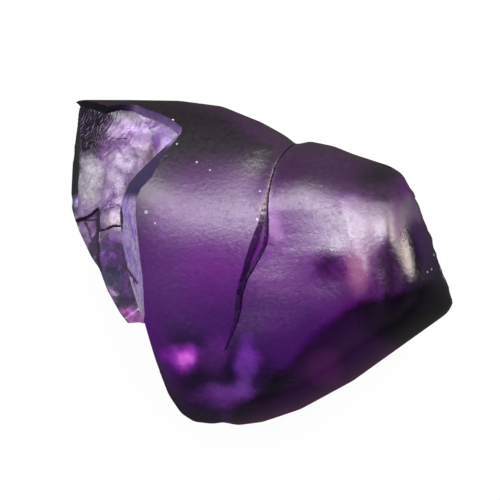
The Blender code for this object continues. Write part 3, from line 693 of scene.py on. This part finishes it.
# bright slanting hatching on the dark part round the blow
HATCH_PITCH, HATCH_ACROSS = 0.078, (0.87, -0.50, 0.0)
across = vectors("DOT_PRODUCT", shattered_a_little, HATCH_ACROSS)
across = plus(across, times(cloud(in_mm, 2.2, 2.0).outputs["Fac"], 0.35))
hatch = ramp(maths("SINE", times(across, math.tau / HATCH_PITCH)), 0.1, 0.9)
strokes = cloud(vectors("MULTIPLY", in_mm, (9.0, 3.5, 0.0)), 1.0, 2.0).outputs["Fac"]
hatch = times(hatch, ramp(strokes, 0.44, 0.58), near((-4.58, 3.45), (0.62, 1.15), 0.7, 0.5, shattered))
broken_tint = blended(hatch, broken_tint, (0.55, 0.36, 0.68, 1))
# the wall: lilac and mottled below, with a pale streak and a dark line, nearly black above
on_wall = cloud(vectors("MULTIPLY", shattered, (5.0, 2.2, 3.0)), 1.0, 4.0, 0.65).outputs["Fac"]
rough_wall = blended(ramp(on_wall, 0.36, 0.60), (0.44, 0.28, 0.86, 1), (*LOWER_WALL, 1))
PALE_STREAK = ((-3.76, -0.26), (-3.56, -0.70), (-3.40, -1.18), (-3.29, -1.50))
DARK_LINE = ((-3.72, -0.18), (-3.43, -0.57))
for line, width, share, colour in (
    (PALE_STREAK, 0.09, 0.9, (0.95, 0.90, 0.98)), (DARK_LINE, 0.06, 0.95, (0.03, 0.01, 0.06)),
):
    rough_wall = blended(times(on_lines(line, width, shattered_a_little), share), rough_wall, (*colour, 1))
wall_tint = blended(ramp(up, 1.95, 1.65), (*WALL, 1), rough_wall)
under_rim = times(ramp(up, 3.1, 3.3), ramp(right, -3.8, -3.4))
wall_tint = blended(under_rim, wall_tint, (0.42, 0.28, 0.58, 1))
crushed_edge = times(ramp(up, 1.8, 2.0), ramp(right, -3.8, -4.1))
wall_tint = blended(crushed_edge, wall_tint, (*NEARLY_BLACK, 1))
inner_steps = times(past_line((-3.93, 0.0), (-1.0, 0.12), 0.03), ramp(up, 1.7, 1.4))
wall_tint = blended(inner_steps, wall_tint, (0.03, 0.01, 0.05, 1))
broken_tint = blended(step_mark, broken_tint, wall_tint)
pink_end = near((-3.45, -1.55), (0.6, 0.36), 0.8, 0.4, shattered)
broken_tint = blended(pink_end, broken_tint, (0.70, 0.20, 0.72, 1))
# painted shade: the break's rim along the outline nearly black, darker higher up
broken_tint = blended(times(rim_mark, ramp(up, 0.9, 1.6, 0.25, 0.97)), broken_tint, (*NEARLY_BLACK, 1))
whole_tint = blended(fresh_mark, tint, broken_tint)
mottle = ramp(cloud(in_mm, 6.5, 5.0, 0.7).outputs["Fac"], 0.30, 0.70, 0.72, 1.28, "LINEAR")
whole_tint = vectors("MULTIPLY", whole_tint, mottle)
# the lower scar is splintered into darker and brighter shards
splinters = node("ShaderNodeTexVoronoi", feature="F1")
feed(splinters.inputs["Vector"], shattered)
feed(splinters.inputs["Scale"], 5.5)
shard = node("ShaderNodeSeparateColor")
feed(shard.inputs[0], splinters.outputs["Color"])
shard = ramp(shard.outputs[0], 0.1, 0.9, 0.25, 1.7, "LINEAR")
in_scar = times(fresh_mark, ramp(up, 1.0, 0.6, 0.22, 0.85), less(1.0, step_mark))
whole_tint = vectors("MULTIPLY", whole_tint, ramp(in_scar, 0.0, 1.0, 1.0, shard, "LINEAR"))
crushed = ramp(cloud(shattered, 12.0, 4.0, 0.7).outputs["Fac"], 0.34, 0.66, 0.55, 1.35, "LINEAR")
whole_tint = vectors("MULTIPLY", whole_tint, ramp(fresh_mark, 0.0, 1.0, 1.0, crushed, "LINEAR"))
# tiny white specks, dust on the skin and painted glints on the right-hand edge (the last four): where each lies
# on the plan and how wide it is. Its height on the skin is found in rounds.
SPECK_DEEP, FIRST_LEVEL, ROUNDS = 0.12, 5.0, 4
dust_and_glints = None
for x, y, wide in (
    (-3.18, 1.38, 0.065), (-2.93, 1.08, 0.04), (-0.12, 1.19, 0.045), (-0.04, 1.96, 0.04), (-1.42, 2.54, 0.035),
    (-1.78, 2.76, 0.04), (-2.44, 3.92, 0.045), (-2.33, 3.26, 0.035), (4.73, 0.20, 0.06), (4.67, -0.19, 0.05),
    (4.56, -0.27, 0.045), (4.85, -0.02, 0.035),
):
    level = FIRST_LEVEL
    for _ in range(ROUNDS):
        inward = (PLAN_POINT - level) / (PLAN_POINT - GIRDLE)
        in_x, in_y = (c + (a - c) * inward for a, c in zip((x, y), PLAN_MIDDLE))
        level = (float(skin_height(in_x, in_y)) - low[2]) * size[2] / (high[2] - low[2])
    away = vectors("DIVIDE", vectors("SUBTRACT", in_mm, (in_x, in_y, level)), (wide, wide, SPECK_DEEP))
    speck = ramp(vectors("LENGTH", away), 1.0, 0.3)
    dust_and_glints = speck if dust_and_glints is None else maths("MAXIMUM", dust_and_glints, speck)
whole_tint = blended(times(dust_and_glints, 0.8), whole_tint, (0.92, 0.86, 0.95, 1))
feed(shader.inputs["Base Color"], whole_tint)

# cloudy, so less see-through: the break's floor and most of all its wall, the specks, and spots in the body
BREAK_MILK, WALL_MILK = 0.32, 0.60
cloudy_wall = times(maths("MAXIMUM", ramp(up, 1.95, 1.6), under_rim), step_mark, WALL_MILK)
milk = times(plus(cloudy_wall, BREAK_MILK), fresh_mark)
# cloudier: the painted highlight patch, the dust specks and painted glints, and the painted glints on the chips
milk = plus(milk, times(painted_highlight, 0.13))
milk = plus(milk, times(dust_and_glints, 0.5))
milk = plus(milk, times(on_right, painted_glints, near((4.75, 0.0), (0.7, 1.3), 0.5)))
# cloudier spots: under the painted shade of the upper slopes, the painted sheen at the upper right and by the
# crack, and the painted pink light and glows low in the body
for middle, reach, share in (
    ((-4.72, 2.25), (0.5, 1.0), 0.12), ((2.0, 3.3), (3.4, 1.75), 0.30), ((-0.6, 4.2), (6.5, 2.2), 0.25),
    ((4.20, 1.45), (0.55, 0.65), 0.3), ((-2.20, -2.60), (0.70, 0.52), 0.34),
    ((-2.15, -2.64), (0.42, 0.26), 0.25), ((-0.40, -2.85), (0.45, 1.0), 0.14),
    ((-0.90, -3.62), (1.3, 0.50), 0.36), ((-1.30, -2.60), (0.55, 0.80), 0.15),
    ((2.64, -0.25), (0.45, 0.90), 0.14), ((0.35, 1.00), (0.40, 0.60), 0.14), ((-2.75, 1.65), (0.8, 0.7), 0.08),
):
    milk = plus(milk, near(middle, reach, share))
feed(shader.inputs["Transmission Weight"], less(1.0, milk))

# frosted all over, dull where it is etched, glassy on the break and in the chips
grain = cloud(in_mm, 9.0, 4.0, 0.6).outputs["Fac"]
frost = ramp(grain, 0.3, 0.7, 0.34, 0.42, "LINEAR")
frost = less(frost, times(seam_mark, 0.10))
frost = less(frost, ramp(up, 1.4, 0.4, 0.0, 0.08))
pitted = ramp(cloud(in_mm, 7.0, 2.0, 0.4).outputs["Fac"], 0.56, 0.64)
pitted = times(pitted, near((0.1, 1.30), (3.6, 1.0), 1.0, 0.5))
frost = plus(frost, times(pitted, 0.10))
for middle, reach in (((-0.6, 4.2), (6.5, 2.4)), ((2.0, 3.3), (3.4, 1.75))):
    frost = less(frost, near(middle, reach, 0.10))
# smoother on the face and the two spots where shade is painted
frost = less(frost, times(painted_shade_face, 0.20))
frost = less(frost, times(painted_shade_spots, 0.06))
frost = less(frost, near((4.08, 0.0), (0.36, 1.6), 0.14, 0.4))
frost = ramp(on_right, 0.0, 1.0, frost, 0.14, "LINEAR")
glassy = ramp(cloud(in_mm, 3.4, 3.0).outputs["Fac"], 0.3, 0.7, 0.22, 0.42, "LINEAR")
glassy = ramp(in_scar, 0.3, 0.8, glassy, 0.85, "LINEAR")
pale_spot = near((-4.70, 2.20), (0.60, 0.90), 1.0, 0.6, shattered)
glassy = ramp(pale_spot, 0.0, 1.0, glassy, 0.70, "LINEAR")
round_blow = near((-4.62, 3.65), (0.62, 0.95), 1.0, 0.6, shattered)
glassy = ramp(round_blow, 0.0, 1.0, glassy, 0.18, "LINEAR")
glassy = ramp(step_mark, 0.0, 1.0, glassy, 0.75, "LINEAR")
feed(shader.inputs["Roughness"], ramp(fresh_mark, 0.0, 1.0, frost, glassy, "LINEAR"))
PIT_STRENGTH, PIT_DEPTH = 0.45, 0.00002
pits = node("ShaderNodeBump")
feed(pits.inputs["Strength"], PIT_STRENGTH)
feed(pits.inputs["Distance"], PIT_DEPTH)
feed(pits.inputs["Height"], times(grain, less(1.0, fresh_mark)))
links.new(pits.outputs[0], shader.inputs["Normal"])

depth_tint = node("ShaderNodeVolumeAbsorption")
depth_tint.inputs["Color"].default_value = (0.66, 0.0, 0.76, 1)
depth_tint.inputs["Density"].default_value = 600
links.new(depth_tint.outputs[0], nodes["Material Output"].inputs["Volume"])
carved.materials.clear()
carved.materials.append(crystal_purple)
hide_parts("alexandrite_crystal")
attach(crystal, "root")

# The ground that the stone lies on: a plain white sheet, evenly bright to the eye. Just under the stone it
# also shines up through the crystal.
b = bmesh.new()
bmesh.ops.create_grid(b, x_segments=1, y_segments=1, size=0.6)
ground = loose_piece(b, "white_ground")
white_ground = bpy.data.materials.new("plain_white_ground")
white_ground.use_nodes = True
nodes, links = white_ground.node_tree.nodes, white_ground.node_tree.links
white = nodes["Principled BSDF"]
white.inputs["Base Color"].default_value = (0.05, 0.05, 0.05, 1)
white.inputs["Roughness"].default_value = 0.8
white.inputs["Specular IOR Level"].default_value = 0
white.inputs["Emission Color"].default_value = (1, 1, 1, 1)
ray = node("ShaderNodeLightPath")
from_middle = vectors("LENGTH", node("ShaderNodeTexCoord").outputs["Object"])
below = ramp(from_middle, 0.0055, 0.0035, 0.0, 1.0)
through = times(ray.outputs["Is Transmission Ray"], below)
feed(white.inputs["Emission Strength"], plus(times(ray.outputs["Is Camera Ray"], 0.96), through))
ground.data.materials.append(white_ground)

# Studio light: a dim tent with a warm window at the right-hand side and a faint one at the left, one long strip
# above the far side and a small panel at the right.
tent = bpy.data.worlds.new("white_tent")
tent.use_nodes = True
bpy.context.scene.world = tent
nodes, links = tent.node_tree.nodes, tent.node_tree.links
sky = nodes["Background"]
toward = node("ShaderNodeTexCoord").outputs["Generated"]
split = node("ShaderNodeSeparateXYZ")
feed(split.inputs[0], toward)
to_right = ramp(vectors("DOT_PRODUCT", toward, (0.871, 0.352, 0.342)), 0.92, 0.975)
to_left = ramp(vectors("DOT_PRODUCT", toward, (-0.86, 0.10, 0.50)), 0.70, 0.95)
brightness = plus(ramp(split.outputs["Z"], 0.1, 0.8, 0.10, 0.03), times(to_right, 9.0))
brightness = plus(brightness, times(to_left, 0.10))
backdrop = node("ShaderNodeLightPath").outputs["Is Camera Ray"]
feed(sky.inputs["Strength"], maths("MAXIMUM", brightness, times(backdrop, 0.9)))
warm = times(to_right, less(1.0, backdrop))
feed(sky.inputs["Color"], blended(warm, (0.94, 0.97, 1.0, 1), (1.0, 0.80, 0.72, 1)))

aim, FAR_OFF = Vector((0, 0, 0.004)), 0.07
for name, toward_light, wide, deep, watts in (
    ("far_strip", (-0.12, 0.47, 0.88), 0.12, 0.03, 0.080),
    ("right_panel", (0.31, 0.36, 0.88), 0.020, 0.030, 0.019),
):
    panel = bpy.data.lights.new(name, "AREA")
    panel.shape, panel.size, panel.size_y, panel.energy = "RECTANGLE", wide, deep, watts
    panel_light = bpy.data.objects.new(name, panel)
    bpy.context.scene.collection.objects.link(panel_light)
    panel_light.location = aim + Vector(toward_light) * FAR_OFF
    panel_light.rotation_euler = Vector(toward_light).to_track_quat("Z", "Y").to_euler()

# The camera looks straight down through a long lens, from 46 mm above the stone's widest line, so the white
# ground fills the frame.
EYE_ABOVE, GIRDLE_ABOVE = 0.0459, 0.00245
eye = bpy.data.cameras.new("camera")
eye.lens, eye.sensor_width, eye.clip_start, eye.clip_end = 120, 36, 0.005, 5
camera = bpy.data.objects.new("camera", eye)
bpy.context.scene.collection.objects.link(camera)
camera.location = (-0.000317, 0.000338, EYE_ABOVE + GIRDLE_ABOVE)
bpy.context.scene.camera = camera
bpy.context.scene.view_settings.view_transform = "Standard"
